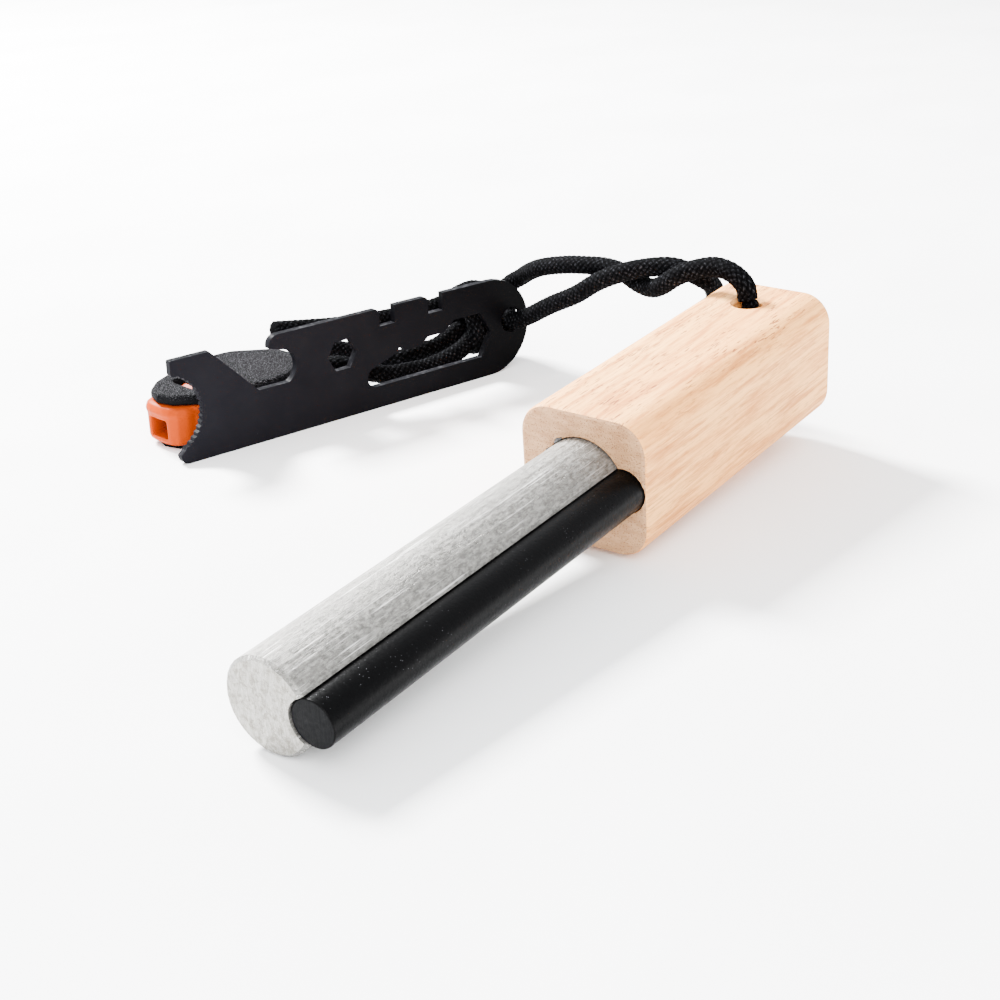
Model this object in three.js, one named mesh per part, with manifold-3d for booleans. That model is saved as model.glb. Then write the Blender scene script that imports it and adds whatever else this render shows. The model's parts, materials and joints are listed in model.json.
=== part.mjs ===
// A ferro rod fire starter: a beech handle with a magnesium bar and a ferro rod, and a cord that
// carries a flat steel striker and a small whistle. Millimetres, +Z up, the rods along +X.
import * as THREE from "three";
import { mergeVertices } from "three/addons/utils/BufferGeometryUtils.js";
import Module from "manifold-3d";

const wasm = await Module();
wasm.setup();

// Handle
const handleLength = 70;
const handleSide = 25.3;
const handleCornerRadius = 5.8;
const handleEndRounding = 0.7;
const boreDepth = 28;
const boreClearance = 0.25;
const cordHoleFromRear = 10.7;
const cordHoleRadius = 2.8;
const cordHoleTopChamfer = 0.6;
const cordHoleBottomChamfer = 1.2;

// Rods
const magnesiumRadius = 8;
const magnesiumExposed = 80;
const magnesiumChamfer = 0.6;
const ferroRadius = 3.95;
const ferroSetback = 0.3;
const ferroChamfer = 0.2;
const ferroOffset = 8.2;
const rodGap = 0.2;
const glueThickness = 1.5;
const seatGap = 0.3;

// Cord
const cordRadius = 2;
const squeezedCordRadius = 1.65;
const cordSides = 8;
const cordStep = 5;
const cordFloorGap = 0.05;
const cordUnderHandleGap = 0.95;
const cordEndGap = 0.65;
const inHandleBend = 4.5;
const knotWrapRadius = 4.7;
const knotWrapTilt = THREE.MathUtils.degToRad(26);
const knotWrapTwist = THREE.MathUtils.degToRad(57);
const knotWrapSpacing = 3.5;
const knotCoreLength = 11.2;
const knotPlace = [84.2, 8.6, 9.8];

// Striker plate
const plateLength = 91.5;
const plateHeight = 22;
const plateThickness = 1.5;
const plateCornerX = -67.7;
const plateCornerY = -88.4;
const plateTurn = THREE.MathUtils.degToRad(165.6);
const toeEdge = 0.6;
const toeHeight = 2;
const toeLength = 2.8;
const scraperEdge = 1.7;
const scraperDepth = 4.8;
const scraperFromTop = 3.4;
const scraperFromBottom = 3;
const scraperTeeth = 16;
const scraperToothDepth = 0.35;
const hookLipCorner = 0.5;
const hookBeakCorner = 0.8;
const hookTopLength = 8.9;
const openerDepth = 10.7;
const openerFloorLength = 7.2;
const openerRadius = 3.9;
const openerStart = THREE.MathUtils.degToRad(-62);
const openerEnd = THREE.MathUtils.degToRad(75);
const openerLipRadius = 2.2;
const openerLipReach = 3.4;
const openerLipAngle = THREE.MathUtils.degToRad(190);
const wireNotchWidth = 4;
const wireNotchDepth = 3.9;
const wireNotchRounding = 1.3;
const wireNotchesFromEnd = [28.3, 41.3];
const slotBottom = 4.9;
const slotLeft = 46.5;
const slotLeftHeight = 4.5;
const slotTipFromEnd = 10.8;
const wrenchSizes = [10.3, 8.1, 6.5];
const wrenchStartShares = [0.31, 0.52, 0.7];
const slotStepRunShare = 1.25;
const wireHoleRadius = 0.9;
const wireHoleInset = 1.3;
const bitHoleSize = 6.35;
const bitHoleX = 40.3;
const bitHoleHeight = 14;
const lanyardHoleRadius = 3;
const lanyardHoleFromEnd = 4.8;
const lanyardHoleRise = 0.7;

// Whistle, lying on its flat side behind the plate
const whistleApexX = 2.5;
const whistleApexY = 11.7;
const whistleTurn = THREE.MathUtils.degToRad(7);
const whistleHalfWidth = 11.3;
const whistleWidestAt = 22.3;
const whistleTailFrom = 27.6;
const whistleTailHalfWidth = 10.4;
const whistleTailTo = 34.3;
const whistleEndHalfWidth = 4.8;
const whistleLength = 35.3;
const noseReachShare = 0.5;
const noseTipShare = 0.62;
const noseFullShare = 0.92;
const bottomShellThickness = 0.6;
const coreTop = 9.3;
const topShellThickness = 2.1;
const shellEdgeRounding = 0.8;
const shellGap = 0.3;
const mouthRadius = 6.4;
const mouthProud = 0.45;
const mouthReach = 9.8;
const mouthRounding = 1.1;
const mouthRidgeHeight = 3.2;
const mouthRidgeProud = 0.3;
const inletWidth = 5.3;
const inletHeight = 4;
const inletBottom = 2.3;
const windowAt = 8.2;
const windowLength = 8.6;
const windowWidth = 3;
const chamberRadius = 5.3;
const chamberAt = 17.2;
const eyeAt = 41.3;
const eyeNeckLength = 6.9;
const eyeNeckHeight = 5;
const eyeHoleRadius = 3.2;
const eyeRingRadius = 4.7;
const eyeThickness = 2.6;
const eyeHeight = 5.6;

// Modelling
const cutOverrun = 1;
const roundSides = 32;
const fineSides = 20;
const cornerSides = 5;
const knotCoreRings = 6;
const bendSteps = 3;
const straightShares = [1 / 4, 1 / 2, 3 / 4];

// The handle rests on the tip of the bar and on the cord that runs under its rear end.
const handleHalf = handleSide / 2;
const cordHoleX = cordHoleFromRear - handleLength;
const tipContactX = magnesiumExposed - magnesiumChamfer;
const handleDrop = handleHalf - magnesiumRadius;
const underCordHeight = cordFloorGap + 2 * cordRadius + cordUnderHandleGap;
const tipToHole = tipContactX - cordHoleX;
const handleTilt =
  Math.asin(underCordHeight / Math.hypot(tipToHole, handleDrop)) + Math.atan2(handleDrop, tipToHole);
const handleFrontHeight = tipContactX * Math.sin(handleTilt) + magnesiumRadius * Math.cos(handleTilt);
const handleFrontX = magnesiumRadius * Math.sin(handleTilt) - tipContactX * Math.cos(handleTilt);
const lanyardAxisX = handleFrontX + cordHoleX * Math.cos(handleTilt);
const rodEnd = -(boreDepth - seatGap - glueThickness - seatGap);
const ferroExposed = magnesiumExposed - ferroSetback;

// The plate's heights hang from its edges, and the scraper's arc from its ends and its depth.
const openerFloorHeight = plateHeight - openerDepth;
const wireNotchStarts = wireNotchesFromEnd.map((fromEnd) => plateLength - fromEnd);
const slotTip = plateLength - slotTipFromEnd;
const wrenchStarts = wrenchStartShares.map((share) => slotTip - share * (slotTip - slotLeft));
const lanyardHoleX = plateLength - lanyardHoleFromEnd;
const lanyardHoleHeight = plateHeight / 2 + lanyardHoleRise;
const scraperTop = plateHeight - scraperFromTop;
const scraperSpread = (scraperTop - scraperFromBottom) / 2;
const scraperRadius = (scraperSpread ** 2 + scraperDepth ** 2) / (2 * scraperDepth);
const scraperCentreX = scraperEdge + scraperDepth - scraperRadius;
const scraperCentreHeight = scraperFromBottom + scraperSpread;

const colours = {
  beech: { color: 0xe8c49c, roughness: 0.65, metalness: 0 },
  magnesium: { color: 0xb9b7b2, roughness: 0.45, metalness: 0.8 },
  ferro: { color: 0x141416, roughness: 0.3, metalness: 0.2 },
  epoxy: { color: 0xc9b98a, roughness: 0.3, metalness: 0 },
  steel: { color: 0x1b1b1e, roughness: 0.45, metalness: 0.5 },
  cord: { color: 0x17171a, roughness: 0.85, metalness: 0 },
  orange: { color: 0xff6a1a, roughness: 0.4, metalness: 0 },
  shell: { color: 0x2b2b2f, roughness: 0.75, metalness: 0 },
};

function solid(geometry) {
  const bare = geometry.index ? geometry.toNonIndexed() : geometry.clone();
  bare.deleteAttribute("normal");
  bare.deleteAttribute("uv");
  const merged = mergeVertices(bare);
  return new wasm.Manifold(
    new wasm.Mesh({
      numProp: 3,
      vertProperties: new Float32Array(merged.attributes.position.array),
      triVerts: new Uint32Array(merged.index.array),
    }),
  );
}

function geometryOf(made) {
  const mesh = made.getMesh();
  const geometry = new THREE.BufferGeometry();
  geometry.setAttribute("position", new THREE.BufferAttribute(new Float32Array(mesh.vertProperties), 3));
  geometry.setIndex(new THREE.BufferAttribute(new Uint32Array(mesh.triVerts), 1));
  geometry.computeVertexNormals();
  return geometry;
}

function piece(name, geometry, finish) {
  const mesh = new THREE.Mesh(geometry, new THREE.MeshStandardMaterial(colours[finish]));
  mesh.name = name;
  return mesh;
}

// A cylinder along X from one place to another.
function rodAlongX(radius, from, to, sides = roundSides) {
  const geometry = new THREE.CylinderGeometry(radius, radius, to - from, sides);
  geometry.rotateZ(-Math.PI / 2);
  geometry.translate((from + to) / 2, 0, 0);
  return geometry;
}

// A round bar along X with chamfered ends.
function chamferedBar(radius, chamfer, from, to, sides = roundSides) {
  const profile = [
    new THREE.Vector2(0, from),
    new THREE.Vector2(radius - chamfer, from),
    new THREE.Vector2(radius, from + chamfer),
    new THREE.Vector2(radius, to - chamfer),
    new THREE.Vector2(radius - chamfer, to),
    new THREE.Vector2(0, to),
  ];
  const geometry = new THREE.LatheGeometry(profile, sides);
  geometry.rotateZ(-Math.PI / 2);
  return geometry;
}

function roundedSquare(half, radius) {
  const shape = new THREE.Shape();
  const inner = half - radius;
  shape.absarc(inner, inner, radius, 0, Math.PI / 2);
  shape.absarc(-inner, inner, radius, Math.PI / 2, Math.PI);
  shape.absarc(-inner, -inner, radius, Math.PI, -Math.PI / 2);
  shape.absarc(inner, -inner, radius, -Math.PI / 2, 0);
  return shape;
}

// A flat outline in the XY plane, raised from one height to another, with an optional rounded rim.
function slab(shape, from, to, rounding = 0, sides = cornerSides) {
  const geometry = new THREE.ExtrudeGeometry(shape, {
    depth: to - from - 2 * rounding,
    curveSegments: sides,
    bevelEnabled: rounding > 0,
    bevelThickness: rounding,
    bevelSize: rounding,
    bevelOffset: -rounding,
    bevelSegments: 2,
  });
  geometry.translate(0, 0, from + rounding);
  return geometry;
}

function cordTube(points, radius) {
  const curve = new THREE.CatmullRomCurve3(points.map((p) => new THREE.Vector3(...p)));
  const ring = [];
  for (let i = 0; i < cordSides; i += 1) {
    const angle = ((i + 1 / 2) / cordSides) * 2 * Math.PI;
    ring.push(new THREE.Vector2(radius * Math.cos(angle), radius * Math.sin(angle)));
  }
  return new THREE.ExtrudeGeometry(new THREE.Shape(ring), {
    steps: Math.ceil(curve.getLength() / cordStep),
    extrudePath: curve,
  });
}

// Handle frame: origin at the middle of the front face, +X towards the tips, +Z out of the top.
function handleBlock() {
  const body = slab(
    roundedSquare(handleHalf, handleCornerRadius), 0, handleLength, handleEndRounding,
  );
  body.rotateY(-Math.PI / 2);
  const bore = rodAlongX(magnesiumRadius + boreClearance, -boreDepth, cutOverrun);
  const sideBore = rodAlongX(ferroRadius + boreClearance, -boreDepth, cutOverrun, fineSides);
  sideBore.translate(0, ferroOffset, 0);
  return geometryOf(solid(body).subtract(solid(bore)).subtract(solid(sideBore)).subtract(cordHole()));
}

function cordHole() {
  const top = handleHalf + cutOverrun;
  const profile = [
    new THREE.Vector2(0, -top),
    new THREE.Vector2(cordHoleRadius + cordHoleBottomChamfer + cutOverrun, -top),
    new THREE.Vector2(cordHoleRadius, cordHoleBottomChamfer - handleHalf),
    new THREE.Vector2(cordHoleRadius, handleHalf - cordHoleTopChamfer),
    new THREE.Vector2(cordHoleRadius + cordHoleTopChamfer + cutOverrun, top),
    new THREE.Vector2(0, top),
  ];
  const drill = new THREE.LatheGeometry(profile, fineSides);
  drill.rotateX(Math.PI / 2);
  drill.translate(cordHoleX, 0, 0);
  return solid(drill);
}

function magnesiumBar() {
  const bar = chamferedBar(magnesiumRadius, magnesiumChamfer, rodEnd, magnesiumExposed);
  const groove = rodAlongX(
    ferroRadius + rodGap, rodEnd - cutOverrun, magnesiumExposed + cutOverrun, fineSides,
  );
  groove.translate(0, ferroOffset, 0);
  return geometryOf(solid(bar).subtract(solid(groove)));
}

function ferroRod() {
  const rod = chamferedBar(ferroRadius, ferroChamfer, rodEnd, ferroExposed, fineSides);
  rod.translate(0, ferroOffset, 0);
  return rod;
}

// The cured glue at the bottom of the two joined bores.
function glueBed() {
  const from = seatGap - boreDepth;
  const to = from + glueThickness;
  const wide = rodAlongX(magnesiumRadius, from, to);
  const narrow = rodAlongX(ferroRadius, from, to, fineSides);
  narrow.translate(0, ferroOffset, 0);
  return geometryOf(solid(wide).add(solid(narrow)));
}

// Plate frame: origin at the lower left corner, +X to the lanyard hole, +Y behind the plate.
function plateOutline() {
  const shape = new THREE.Shape();
  const endRadius = plateHeight / 2;
  shape.moveTo(toeLength, 0);
  shape.absarc(plateLength - endRadius, endRadius, endRadius, -Math.PI / 2, Math.PI / 2);
  for (const start of wireNotchStarts) {
    const floor = plateHeight - wireNotchDepth;
    shape.lineTo(start + wireNotchWidth, plateHeight);
    shape.lineTo(start + wireNotchWidth, floor);
    shape.lineTo(start, floor);
    shape.lineTo(start, plateHeight - wireNotchRounding);
    shape.quadraticCurveTo(start, plateHeight, start - wireNotchRounding, plateHeight);
  }
  openerMouth(shape);
  shape.lineTo(hookTopLength, plateHeight);
  shape.lineTo(hookLipCorner, plateHeight);
  shape.quadraticCurveTo(0, plateHeight, 0, plateHeight - hookLipCorner);
  shape.lineTo(0, scraperTop + hookBeakCorner);
  shape.quadraticCurveTo(0, scraperTop, hookBeakCorner, scraperTop);
  serratedScraper(shape);
  shape.lineTo(toeEdge, toeHeight);
  shape.quadraticCurveTo(toeEdge, 0, toeLength, 0);
  return shape;
}

// The bottle opener: a lip over a round pocket, a level floor and a slope up to the hook.
function openerMouth(shape) {
  const floorStart = hookTopLength + plateHeight - openerFloorHeight;
  const floorEnd = floorStart + openerFloorLength;
  const pocketX = floorEnd - openerRadius * Math.cos(openerStart);
  const pocketZ = openerFloorHeight - openerRadius * Math.sin(openerStart);
  const pocketEndX = pocketX + openerRadius * Math.cos(openerEnd);
  const lipX = pocketEndX - openerLipReach + openerLipRadius;
  shape.absarc(lipX, plateHeight - openerLipRadius, openerLipRadius, Math.PI / 2, openerLipAngle);
  shape.absarc(pocketX, pocketZ, openerRadius, openerEnd, openerStart, true);
  shape.lineTo(floorStart, openerFloorHeight);
}

function serratedScraper(shape) {
  const half = Math.atan2(scraperSpread, scraperRadius - scraperDepth);
  for (let i = 0; i <= 2 * scraperTeeth; i += 1) {
    const angle = half - (i / scraperTeeth) * half;
    const radius = i % 2 ? scraperRadius - scraperToothDepth : scraperRadius;
    shape.lineTo(
      scraperCentreX + radius * Math.cos(angle), scraperCentreHeight + radius * Math.sin(angle),
    );
  }
}

// The stepped slot: one straight side, and three wrench widths and a wire hole on the other.
function wrenchSlot() {
  const slot = new THREE.Path();
  const halfLeft = slotLeftHeight / 2;
  const [large] = wrenchSizes;
  const hexRun = (large / 2) * Math.tan(Math.PI / 6);
  slot.moveTo(slotTip - hexRun, slotBottom);
  slot.lineTo(slotTip, slotBottom + large / 2);
  slot.lineTo(slotTip - hexRun, slotBottom + large);
  wrenchSizes.forEach((size, i) => {
    slot.lineTo(wrenchStarts[i], slotBottom + size);
    if (i + 1 < wrenchSizes.length) {
      const drop = size - wrenchSizes[i + 1];
      slot.lineTo(wrenchStarts[i] - slotStepRunShare * drop, slotBottom + wrenchSizes[i + 1]);
    }
  });
  const small = wrenchSizes[wrenchSizes.length - 1];
  const holeX = wrenchStarts[wrenchStarts.length - 1] - wireHoleInset;
  slot.absarc(holeX, slotBottom + small, wireHoleRadius, 0, Math.PI);
  slot.absarc(slotLeft + halfLeft, slotBottom + halfLeft, halfLeft, Math.PI / 2, -Math.PI / 2);
  return slot;
}

function bitHole() {
  const hole = new THREE.Path();
  const corner = bitHoleSize / Math.sqrt(3);
  for (let i = 0; i < 6; i += 1) {
    const angle = (i * Math.PI) / 3;
    const x = bitHoleX + corner * Math.cos(angle);
    const z = bitHoleHeight + corner * Math.sin(angle);
    if (i === 0) hole.moveTo(x, z);
    else hole.lineTo(x, z);
  }
  return hole;
}

function strikerPlate() {
  const outline = plateOutline();
  const lanyardHole = new THREE.Path();
  lanyardHole.absarc(lanyardHoleX, lanyardHoleHeight, lanyardHoleRadius, 0, 2 * Math.PI);
  outline.holes.push(wrenchSlot(), bitHole(), lanyardHole);
  const plate = slab(outline, 0, plateThickness, 0, 2 * cornerSides);
  plate.rotateX(Math.PI / 2);
  plate.translate(0, plateThickness, 0);
  return plate;
}

// Whistle frame: origin at the middle of the front edge on the floor, +X to the eye at its tail.
function whistleOutline(inset = 0) {
  const shape = new THREE.Shape();
  const wide = whistleHalfWidth - inset;
  const tail = whistleTailHalfWidth - inset;
  const end = whistleEndHalfWidth - inset / 2;
  const rear = whistleLength - inset;
  const reach = noseReachShare * whistleWidestAt;
  const tip = noseTipShare * wide;
  const full = noseFullShare * wide;
  shape.moveTo(inset, 0);
  shape.bezierCurveTo(inset, -tip, reach, -full, whistleWidestAt, -wide);
  shape.quadraticCurveTo((whistleWidestAt + whistleTailFrom) / 2, -wide, whistleTailFrom, -tail);
  shape.lineTo(whistleTailTo - inset, -end);
  shape.quadraticCurveTo(rear, -end, rear, 0);
  shape.quadraticCurveTo(rear, end, whistleTailTo - inset, end);
  shape.lineTo(whistleTailFrom, tail);
  shape.quadraticCurveTo((whistleWidestAt + whistleTailFrom) / 2, wide, whistleWidestAt, wide);
  shape.bezierCurveTo(reach, full, inset, tip, inset, 0);
  return shape;
}

// The rounded front end of the mouthpiece, grown outwards for the ridge round its top.
function mouthOutline(grown = 0) {
  const shape = new THREE.Shape();
  const half = mouthRadius + grown;
  const front = -mouthProud - grown;
  const corner = mouthRadius - mouthProud;
  shape.moveTo(mouthReach, -half);
  shape.lineTo(mouthReach, half);
  shape.lineTo(corner, half);
  shape.bezierCurveTo(front, half, front, half / 2, front, 0);
  shape.bezierCurveTo(front, -half / 2, front, -half, corner, -half);
  return shape;
}

function roundedSlotShape(length, width) {
  const shape = new THREE.Shape();
  const reach = (length - width) / 2;
  shape.absarc(0, reach, width / 2, 0, Math.PI);
  shape.absarc(0, -reach, width / 2, Math.PI, 2 * Math.PI);
  return shape;
}

function toneWindow(from, to) {
  const window = slab(roundedSlotShape(windowLength, windowWidth), from, to);
  window.translate(windowAt, 0, 0);
  return solid(window);
}

function whistleCore() {
  const bottom = bottomShellThickness + shellGap;
  const body = slab(whistleOutline(shellGap), bottom, coreTop);
  const mouth = slab(mouthOutline(), bottom, coreTop, mouthRounding);
  const ridge = slab(
    mouthOutline(mouthRidgeProud), coreTop - mouthRidgeHeight, coreTop, mouthRidgeHeight / 2,
  );
  const ring = new THREE.CylinderGeometry(eyeRingRadius, eyeRingRadius, eyeThickness, roundSides);
  ring.translate(eyeAt, 0, eyeHeight);
  const neck = new THREE.BoxGeometry(eyeNeckLength, eyeThickness, eyeNeckHeight);
  neck.translate(eyeAt - eyeHoleRadius - eyeNeckLength / 2, 0, eyeHeight);
  const hole = new THREE.CylinderGeometry(
    eyeHoleRadius, eyeHoleRadius, eyeThickness + cutOverrun, fineSides,
  );
  hole.translate(eyeAt, 0, eyeHeight);
  const inlet = new THREE.BoxGeometry(windowAt + 2 * mouthRadius, inletWidth, inletHeight);
  inlet.translate(windowAt / 2 - mouthRadius, 0, inletBottom + inletHeight / 2);
  const chamber = new THREE.CylinderGeometry(chamberRadius, chamberRadius, coreTop, fineSides);
  chamber.rotateX(Math.PI / 2);
  chamber.translate(chamberAt, 0, inletBottom + coreTop / 2);
  const duct = new THREE.BoxGeometry(chamberAt - windowAt, inletWidth, coreTop);
  duct.translate((chamberAt + windowAt) / 2, 0, inletBottom + coreTop / 2);
  return geometryOf(
    solid(body)
      .add(solid(mouth))
      .add(solid(ridge))
      .add(solid(ring))
      .add(solid(neck))
      .subtract(solid(hole))
      .subtract(solid(inlet))
      .subtract(solid(chamber))
      .subtract(solid(duct))
      .subtract(toneWindow(inletBottom, coreTop + cutOverrun)),
  );
}

function whistleTopShell() {
  const from = coreTop + shellGap;
  const to = from + topShellThickness;
  const cover = slab(whistleOutline(), from - shellEdgeRounding, to, shellEdgeRounding);
  const below = new THREE.BoxGeometry(
    whistleLength + 2 * cutOverrun, 2 * (whistleHalfWidth + cutOverrun), 2 * cutOverrun,
  );
  below.translate(whistleLength / 2, 0, from - cutOverrun);
  return geometryOf(
    solid(cover).subtract(solid(below)).subtract(toneWindow(from - cutOverrun, to + cutOverrun)),
  );
}

function whistleBottomShell() {
  return slab(whistleOutline(shellEdgeRounding), 0, bottomShellThickness);
}

// The knot: three fused wraps round a core, as a doubled overhand knot looks from outside.
function cordKnot() {
  const core = new THREE.SphereGeometry(knotWrapRadius, cordSides, knotCoreRings);
  core.scale(knotCoreLength / (2 * knotWrapRadius), 1, 1);
  let knot = solid(core);
  for (let i = -1; i <= 1; i += 1) {
    const wrap = new THREE.TorusGeometry(knotWrapRadius, cordRadius, cordSides, 2 * cordSides);
    wrap.rotateY(Math.PI / 2 + knotWrapTilt);
    wrap.rotateX(i * knotWrapTwist);
    wrap.translate(i * knotWrapSpacing, 0, 0);
    knot = knot.add(solid(wrap));
  }
  return geometryOf(knot);
}

// The cord's stretches that run between the handle and the plate, in the floor's frame.
const topStrandRoute = [
  [-138, 0, 30.8], [-138, -0.8, 33.3], [-138.4, -4, 35.2], [-139, -8.2, 35.7],
  [-139.2, -12.6, 34.6], [-139.1, -17, 32.5], [-140.6, -21.2, 29.6], [-143, -25.1, 27.8],
  [-145.4, -29.6, 27.5], [-147.1, -34.5, 28.6], [-148.1, -39.2, 28.9], [-148.7, -44.3, 28.4],
  [-149.5, -50, 27.5], [-151.8, -58.2, 25.2], [-155.6, -64.6, 22.2], [-157.9, -68.4, 19.9],
  [-157.8, -71.1, 18.2], [-157, -72.8, 16.4],
];
const underStrandRoute = [
  [-141.2, -3.7, 2.05], [-144.7, -7.8, 2.05], [-148.6, -11.8, 2.4], [-151.8, -14.7, 4.6],
  [-153.9, -16.2, 8.7], [-154.6, -16.6, 14], [-154.4, -16.3, 19.7], [-152.7, -15.5, 24.9],
  [-149.6, -14.8, 28.4], [-145.6, -15, 30.8], [-143.8, -17.2, 32.3], [-143.5, -20.7, 32.8],
  [-143, -25.1, 32.2], [-142.5, -30.2, 30.8], [-142.7, -35.4, 28.6], [-143.7, -39.6, 26.3],
  [-145.1, -44.9, 22.8], [-147.2, -53.1, 18.5], [-149.6, -60.7, 14.1], [-151.1, -64.9, 12.1],
  [-151.7, -67, 11.8],
];

// The stretches behind the plate, in the plate's frame.
const tailRoute = [
  [75.9, 4.9, 16.6], [71, 4.3, 16.9], [64.4, 4.1, 17.3], [57.5, 4.1, 17.8],
  [49.5, 4.1, 18.3], [41.4, 4.1, 19.1], [34.5, 4.2, 20.1], [27, 4.3, 21.3],
];
const whistleLoopRoute = [
  [76.5, 5.6, 6.4], [72.2, 5, 5.4], [66.7, 4.7, 4.5], [61, 4.7, 3.9],
  [55.2, 4.9, 3.9], [50.3, 6.4, 5], [46.6, 9.6, 6.2], [44, 13.2, 6],
  [43.1, 16.8, 5.7], [43.9, 20.3, 5.9], [47, 24, 6.8], [51.5, 25.6, 6.6],
  [56.6, 23.6, 5.6], [60.3, 19.3, 4.8], [62.4, 15.2, 4.6], [65.2, 11.8, 5.2],
  [69.4, 10.2, 6.7], [72.6, 10, 8], [75.5, 10, 9.3],
];
// The stretch inside the handle: straight down, then a quarter turn out from under it.
function inHandleRoute() {
  const [start] = underStrandRoute;
  const [[, , topStrandStart]] = topStrandRoute;
  const away = Math.hypot(start[0] - lanyardAxisX, start[1]);
  const out = [(start[0] - lanyardAxisX) / away, start[1] / away];
  const top = topStrandStart - cordEndGap;
  const bendTop = cordFloorGap + cordRadius + inHandleBend;
  const route = [[lanyardAxisX, 0, top]];
  for (const share of straightShares) {
    route.push([lanyardAxisX, 0, top - share * (top - bendTop)]);
  }
  for (let i = 0; i <= bendSteps; i += 1) {
    const angle = ((i / bendSteps) * Math.PI) / 2;
    const reach = (away - cordEndGap) * (1 - Math.cos(angle));
    route.push([
      lanyardAxisX + reach * out[0], reach * out[1], bendTop - inHandleBend * Math.sin(angle),
    ]);
  }
  return route;
}

function floorGroup() {
  const group = new THREE.Group();
  group.add(piece("cord_top_strand", cordTube(topStrandRoute, cordRadius), "cord"));
  group.add(piece("cord_in_handle", cordTube(inHandleRoute(), squeezedCordRadius), "cord"));
  group.add(piece("cord_under_strand", cordTube(underStrandRoute, cordRadius), "cord"));
  return group;
}

function handleGroup() {
  const group = new THREE.Group();
  group.position.set(handleFrontX, 0, handleFrontHeight);
  group.rotation.y = handleTilt;
  group.add(piece("handle_block", handleBlock(), "beech"));
  group.add(piece("magnesium_bar", magnesiumBar(), "magnesium"));
  group.add(piece("ferro_rod", ferroRod(), "ferro"));
  group.add(piece("glue_bed", glueBed(), "epoxy"));
  return group;
}

function whistleGroup() {
  const group = new THREE.Group();
  group.position.set(whistleApexX, whistleApexY, 0);
  group.rotation.z = whistleTurn;
  group.add(piece("whistle_core", whistleCore(), "orange"));
  group.add(piece("whistle_top_shell", whistleTopShell(), "shell"));
  group.add(piece("whistle_bottom_shell", whistleBottomShell(), "shell"));
  return group;
}

function plateGroup() {
  const group = new THREE.Group();
  group.position.set(plateCornerX, plateCornerY, 0);
  group.rotation.z = plateTurn;
  const knot = piece("cord_knot", cordKnot(), "cord");
  knot.position.set(...knotPlace);
  group.add(piece("striker_plate", strikerPlate(), "steel"));
  group.add(knot);
  group.add(piece("cord_tail", cordTube(tailRoute, cordRadius), "cord"));
  group.add(piece("cord_whistle_loop", cordTube(whistleLoopRoute, cordRadius), "cord"));
  group.add(whistleGroup());
  return group;
}

// The origin lies under the middle of everything but the cord.
function centred(parts) {
  const root = new THREE.Group();
  root.add(...parts);
  root.updateMatrixWorld(true);
  const box = new THREE.Box3();
  root.traverse((o) => {
    if (o.isMesh && !o.name.startsWith("cord_")) box.expandByObject(o, true);
  });
  const middle = box.getCenter(new THREE.Vector3());
  const placed = new THREE.Group();
  placed.add(root);
  root.position.set(-middle.x, -middle.y, -box.min.z);
  return placed;
}

const root = centred([floorGroup(), handleGroup(), plateGroup()]);

export default root;
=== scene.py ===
import json
import math

import bpy
import numpy as np
from mathutils import Matrix, Vector


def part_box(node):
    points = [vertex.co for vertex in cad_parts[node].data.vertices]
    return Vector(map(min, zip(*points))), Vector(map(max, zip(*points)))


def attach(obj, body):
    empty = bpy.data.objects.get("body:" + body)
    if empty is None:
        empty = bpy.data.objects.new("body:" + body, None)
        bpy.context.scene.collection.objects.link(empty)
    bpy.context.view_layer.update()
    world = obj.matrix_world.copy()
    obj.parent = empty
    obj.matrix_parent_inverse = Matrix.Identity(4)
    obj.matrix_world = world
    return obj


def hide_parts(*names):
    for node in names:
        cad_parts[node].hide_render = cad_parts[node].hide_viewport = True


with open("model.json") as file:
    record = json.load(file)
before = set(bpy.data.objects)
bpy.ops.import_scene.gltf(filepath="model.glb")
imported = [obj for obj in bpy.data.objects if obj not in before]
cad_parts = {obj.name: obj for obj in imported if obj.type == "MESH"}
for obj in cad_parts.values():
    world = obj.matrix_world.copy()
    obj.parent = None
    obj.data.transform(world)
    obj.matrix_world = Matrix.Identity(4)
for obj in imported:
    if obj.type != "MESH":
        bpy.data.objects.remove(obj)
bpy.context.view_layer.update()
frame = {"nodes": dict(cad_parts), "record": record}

# Lengths are in metres. Floor frame: the CAD source's own frame, which starts at FLOOR in the
# row frame and is turned as the row frame is.
FLOOR = Vector((0.077515, 0.047401, 0))
# Plate frame: origin at the plate's lower left corner, turned as in the CAD source.
PLATE_CORNER = FLOOR + Vector((-0.0677, -0.0884, 0))
PLATE_TURN = math.radians(165.6)
PLATE = Matrix.Translation(PLATE_CORNER) @ Matrix.Rotation(PLATE_TURN, 4, "Z")
PLATE_NORMAL = (0.24869, 0.968583, 0)
PLATE_ALONG = (0.968583, -0.24869, 0)
# Whistle frame: origin at the mouthpiece's tip, X towards the eye.
WHISTLE_APEX = (0.0025, 0.0117, 0)
WHISTLE_TURN = math.radians(7)
WHISTLE = PLATE @ Matrix.Translation(WHISTLE_APEX) @ Matrix.Rotation(WHISTLE_TURN, 4, "Z")
# The handle's axis falls towards the tips of the rods.
HANDLE_TILT = math.radians(3.985)
HANDLE_AXIS = (math.cos(HANDLE_TILT), 0, -math.sin(HANDLE_TILT))
BAR_IN_HANDLE_FACE = FLOOR + Vector((-0.078652, 0, 0.013499))

# Camera, fitted to the photo
CAMERA_AT = FLOOR + Vector((0.142518, 0.144055, 0.125784))
CAMERA_RIGHT = Vector((-0.583481, 0.811899, -0.019253))
CAMERA_UP = Vector((-0.336258, -0.219941, 0.915727))
LENS = 60.014
SENSOR_WIDTH = 36
CLIP_START, CLIP_END = 0.01, 20

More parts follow.
